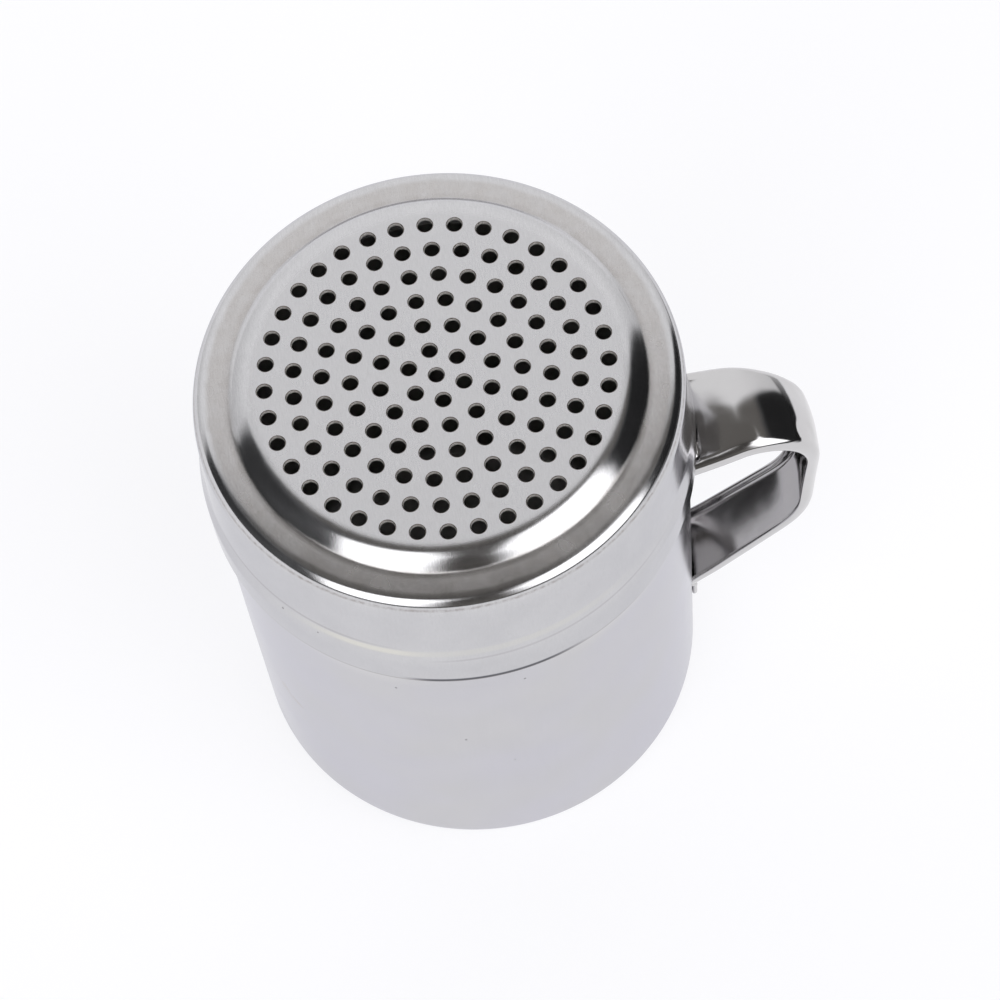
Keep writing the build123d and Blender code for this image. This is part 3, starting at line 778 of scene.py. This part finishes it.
def turn_arc(p0, p1, p2, r, step=0.05):
    """Arc that rounds the corner p1, from its first to its last point."""
    d0 = np.subtract(p1, p0) / math.dist(p0, p1)
    d1 = np.subtract(p2, p1) / math.dist(p1, p2)
    cross = d0[0] * d1[1] - d0[1] * d1[0]
    turn = math.acos(max(-1.0, min(1.0, float(np.dot(d0, d1)))))
    reach = r * math.tan(turn / 2)
    start = np.array(p1) - reach * d0
    side = np.array((-d0[1], d0[0])) * (1 if cross > 0 else -1)
    c = start + side * r
    n = max(4, int(r * turn / step))
    pts = []
    for i in range(n + 1):
        a = turn * i / n * (1 if cross > 0 else -1)
        v = start - c
        pts.append((c[0] + v[0] * math.cos(a) - v[1] * math.sin(a),
                    c[1] + v[0] * math.sin(a) + v[1] * math.cos(a)))
    return pts


k_top = (BEND_TOP[1] - ARM_TOP[1]) / (BEND_TOP[0] - ARM_TOP[0])
k_low = (BEND_LOW[1] - ARM_LOW[1]) / (BEND_LOW[0] - ARM_LOW[0])
top_corner = (BODY_R, ARM_TOP[1] + k_top * (BODY_R - ARM_TOP[0]))
low_corner = (BODY_R + STRAP_T, ARM_LOW[1] + k_low * (BODY_R + STRAP_T - ARM_LOW[0]))
head, tail = (BODY_R, TAB_TOP[1]), (BODY_R + STRAP_T, TAB_LOW[1])
line = [head]
line += turn_arc(head, top_corner, BEND_TOP, TAB_BEND_R)
line += turn_arc(top_corner, BEND_TOP, BEND_LOW, BEND_TOP_R)
line += turn_arc(BEND_TOP, BEND_LOW, low_corner, BEND_LOW_R)
line += turn_arc(BEND_LOW, low_corner, tail, LOW_BEND_R)
line += [tail]
STEP = 0.05
path = even(line, STEP)
STEP = float(np.mean(np.hypot(*np.diff(path, axis=0).T)))
run = np.arange(len(path)) * STEP
s_top = (top_corner[1] - head[1]) + 0.3         # along the path: start of the top arm
s_low = run[-1] - (low_corner[1] - tail[1]) - 0.2   # end of the lower arm
gentle, tight = blur(path, STEP, 1.3), blur(path, STEP, 0.16)


def smooth(v, lo, hi):
    k = np.clip((np.asarray(v, float) - lo) / (hi - lo), 0.0, 1.0)
    return k * k * (3 - 2 * k)


k = (smooth(run, s_top + 2.0, s_top + 6.0) * smooth(run, s_low - 2.5, s_low - 6.5))[:, None]
path = tight * (1 - k) + gentle * k
tan = np.gradient(path, axis=0)
tan /= np.linalg.norm(tan, axis=1)[:, None]

pick_at = [0]
ang = np.unwrap(np.arctan2(tan[:, 1], tan[:, 0]))
for i in range(1, len(path) - 1):
    d = run[i] - run[pick_at[-1]]
    if d > 0.42 or abs(ang[i] - ang[pick_at[-1]]) > math.radians(4.0) \
            or (min(run[i], run[-1] - run[i]) < 0.6 and d > 0.09):
        pick_at.append(i)
pick_at.append(len(path) - 1)

total = s_low - s_top
ACROSS = 34             # points from one lip to the other on each face
LIP = 6                 # points round each lip


def along(at, values, sigma):
    """A size that changes gently along the strap, by distance from the top end."""
    v = np.interp(run - s_top, at, values)
    n = int(3 * sigma / STEP)
    k = np.exp(-0.5 * (np.arange(-n, n + 1) * STEP / sigma) ** 2)
    return np.convolve(np.pad(v, n, "edge"), k / k.sum(), "valid")


half_w = along([0, 5, 9, 13, 18, 28, 36, 46, 55, 62, total],
               [7.68, 7.20, 6.80, 6.45, 6.05, 5.58, 5.40, 5.50, 5.80, 6.00, 6.20], 2.2)
bowed = along([0, 7, 11, 16, 24, 36, 50, total],
              [1 / 50, 1 / 48, 1 / 25, 1 / 22, 1 / 22, 1 / 21, 1 / 20, 1 / 21], 1.8)
flatter = along([0, 8, 12, 20, 26, 34], [1.6, 1.8, 3.2, 3.0, 1.3, 1.0], 1.8)
rolled = along([-2, 0, 7, 11, 16, 26], [5.0, 6.2, 6.2, 3.4, 0.3, 0.0], 1.4)


def half_section(f, rm, turn, g, crown, n):
    """Middle of the sheet from the crest to the lip: points and normals."""
    seg = [f, rm * turn, g]
    whole = sum(seg)
    pts = []
    for i in range(n + 1):
        # more points where the side turns
        q = i / n
        d = whole * (q if turn < 0.05 else 1 - (1 - q) ** 1.45)
        if d <= f:
            a = d / crown
            pts.append((crown * math.sin(a), -crown * (1 - math.cos(a)), a))
            continue
        a0 = f / crown
        u0, v0 = crown * math.sin(a0), -crown * (1 - math.cos(a0))
        if d <= f + rm * turn:
            a = a0 + (d - f) / rm
            pts.append((u0 + rm * (math.sin(a) - math.sin(a0)),
                        v0 + rm * (math.cos(a) - math.cos(a0)), a))
            continue
        a = a0 + turn
        u1 = u0 + rm * (math.sin(a) - math.sin(a0))
        v1 = v0 + rm * (math.cos(a) - math.cos(a0))
        e = d - f - rm * turn
        pts.append((u1 + e * math.cos(a), v1 - e * math.sin(a), a))
    return pts


verts, norms = [], []
ring_n = 0
for i in pick_at:
    s = run[i]
    a, b = s - s_top, s_low - s                 # distance from either end of the loop
    channel = float(smooth(a, -0.6, 0.5) * smooth(b, -0.9, 0.9))
    turn = math.radians(84.0) * channel
    w_out = float(half_w[i])
    crown = 1.0 / float(bowed[i])
    rm = 1.35 - 0.25 * channel
    full_f = w_out - STRAP_T / 2 - rm
    full_l = full_f + rm * math.radians(84.0) + 0.25
    tab_l = TAB_TOP[0] if a < total / 2 else TAB_LOW[0]
    body = float(smooth(a, -0.6, 0.5) * smooth(b, -0.9, 0.9))
    whole = tab_l + (full_l - tab_l) * body
    end = min(s, run[-1] - s)                   # rounded corners of the tabs
    if end < 2.0:
        whole = tab_l - 2.0 + math.sqrt(max(0.0, 4.0 - (2.0 - end) ** 2))
    g = 0.25 + 0.9 * (1 - channel)
    f = max(0.4, whole - rm * turn - g)
    thick = STRAP_T * math.sqrt(max(0.0, 1 - (1 - min(1.0, (end + 0.06) / 0.35)) ** 2))
    # on the tabs the sheet follows the wall instead of its own crown
    wall_k = float(max(1 - smooth(a, -1.0, 0.4), 1 - smooth(b, -1.0, 0.4)))
    half = half_section(f, rm, turn, g, crown, ACROSS // 2)
    extra = 0.6 * body * float(1 - smooth(a, 0.0, 7.5))
    flat = half_section(f + extra, rm, turn, g, crown * float(flatter[i]), ACROSS // 2)
    mid_pts = [(-u, v, -al) for u, v, al in flat[:0:-1]] + half
    roll = math.radians(float(rolled[i])) * (1.0 - 0.8 * wall_k)
    outer, under = [], []
    for u, v, al in mid_pts:
        lift = wall_k * (u * u) / (2 * crown)   # takes the crown out again
        nu, nv = math.sin(al), math.cos(al)
        v = v - STRAP_T / 2 + lift
        outer.append((u + nu * thick / 2, v + nv * thick / 2))
        under.append((u - nu * thick / 2, v - nv * thick / 2))
    loop = list(outer)
    for side, (u, v, al) in ((1, mid_pts[-1]), (-1, mid_pts[0])):
        lift = wall_k * (u * u) / (2 * crown)
        v = v - STRAP_T / 2 + lift
        nu, nv = math.sin(al), math.cos(al)
        tu, tv = side * math.cos(al), -side * math.sin(al)
        cap = []
        for q in range(1, LIP):
            e = math.pi * q / LIP
            c_, s_ = math.cos(e), math.sin(e)
            if side < 0:
                c_ = -c_
            cap.append((u + (nu * c_ + tu * s_) * thick / 2, v + (nv * c_ + tv * s_) * thick / 2))
        if side > 0:
            loop += cap + under[::-1]
        else:
            loop += cap
    ring_n = len(loop)
    px, pz = path[i]
    tx, tz = tan[i]
    nx, nz = -tz, tx                            # out of the loop
    ca, sa = math.cos(roll), math.sin(roll)
    # near the wall the strap's end is cut to the canister's round
    near = float(max(1 - smooth(a, 0.5, 7.0), 1 - smooth(b, 0.5, 6.0)))
    reach = float(smooth(a, -0.5, 0.5) * (1 - smooth(a, 0.5, 6.0)))
    for u, v in loop:
        y_ = u * ca - v * sa
        n_ = u * sa + v * ca
        shift = -near * (y_ * y_) / (2 * 34.5)
        side = max(float(smooth(-v, 0.9, 1.8)), float(smooth(abs(u), 5.3, 6.8)))
        shift -= reach * 1.25 * side
        verts.append((px + nx * n_ + shift, y_, pz + nz * n_))
faces = []
rows_n = len(pick_at)
for j in range(rows_n - 1):
    for i in range(ring_n):
        k = (i + 1) % ring_n
        faces.append((j * ring_n + i, (j + 1) * ring_n + i, (j + 1) * ring_n + k, j * ring_n + k))
faces.append(tuple(range(ring_n)))
faces.append(tuple((rows_n - 1) * ring_n + i for i in range(ring_n))[::-1])
# electrode marks: the sheet is pressed down round each weld
for n, (px, py, pz) in enumerate(verts):
    for wy, wz in WELDS:
        for sgn in (-1, 1):
            d = math.hypot(py - sgn * wy, pz - wz)
            if d < 2.0 and math.hypot(px, py) > BODY_R + 0.5:
                px -= 0.11 * float(1 - smooth(d, 1.25, 2.0))
    verts[n] = (px, py, pz)
verts = [(a * MM, b * MM, c * MM) for a, b, c in verts]
strap = mesh_object("handle_strip", verts, faces, STRAP_MAT)
finish_mesh(strap, None, "canister", "handle_strap")

# ------------------------------------------------------- carried-over nodes
finish = {
    "perforated_lid": LID_MAT,
    "canister_body": BODY_MAT,
    "handle_strap": STRAP_MAT,
    "upper_spot_welds": WELD_MAT,
    "lower_spot_welds": WELD_MAT,
}
for node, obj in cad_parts.items():
    for s in obj.material_slots:
        s.material = finish[node]
